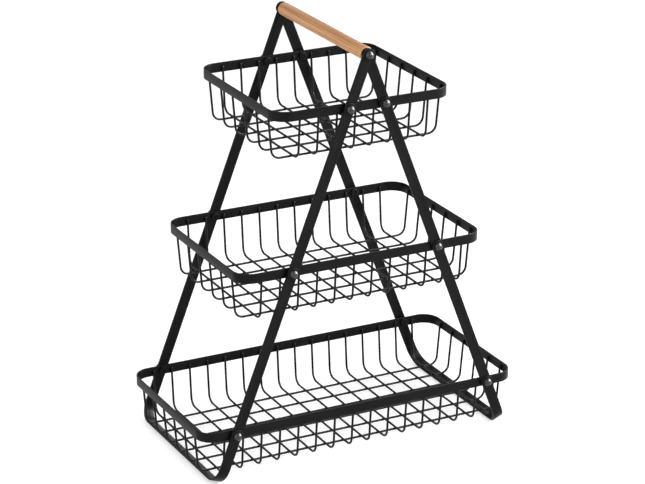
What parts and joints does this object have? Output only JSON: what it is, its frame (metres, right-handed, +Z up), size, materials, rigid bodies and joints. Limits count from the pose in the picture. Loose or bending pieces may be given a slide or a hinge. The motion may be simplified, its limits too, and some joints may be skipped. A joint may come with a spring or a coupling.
{
  "type": "tiered wire basket",
  "caption": "Free-standing tiered storage basket: wire baskets that grow towards the base, hung between two leaning flat-bar frames that meet at a round wooden handle.",
  "frame": {"origin": "on the table, midway between the two foot rails", "axes": "+X along the baskets to the right, +Y from front to rear along the handle, +Z up"},
  "size_m": [0.3886, 0.2164, 0.4697],
  "materials": {
    "black_powder_coat": "satin",
    "black_gloss_fastener": "gloss",
    "handle_wood": "satin"
  },
  "bodies": {
    "root": {"left_leg_frame": "black_powder_coat", "right_leg_frame": "black_powder_coat", "handle_grip": "handle_wood", "handle_screws": "black_gloss_fastener", "top_basket_rim": "black_powder_coat", "top_basket_long_wires": "black_powder_coat", "top_basket_cross_wires": "black_powder_coat", "top_basket_screws": "black_gloss_fastener", "top_basket_nuts": "black_gloss_fastener", "top_basket_spacers": "black_gloss_fastener", "middle_basket_rim": "black_powder_coat", "middle_basket_long_wires": "black_powder_coat", "middle_basket_cross_wires": "black_powder_coat", "middle_basket_screws": "black_gloss_fastener", "middle_basket_nuts": "black_gloss_fastener", "middle_basket_spacers": "black_gloss_fastener", "bottom_basket_rim": "black_powder_coat", "bottom_basket_long_wires": "black_powder_coat", "bottom_basket_cross_wires": "black_powder_coat", "bottom_basket_screws": "black_gloss_fastener", "bottom_basket_nuts": "black_gloss_fastener", "bottom_basket_spacers": "black_gloss_fastener"}
  },
  "joints": []
}
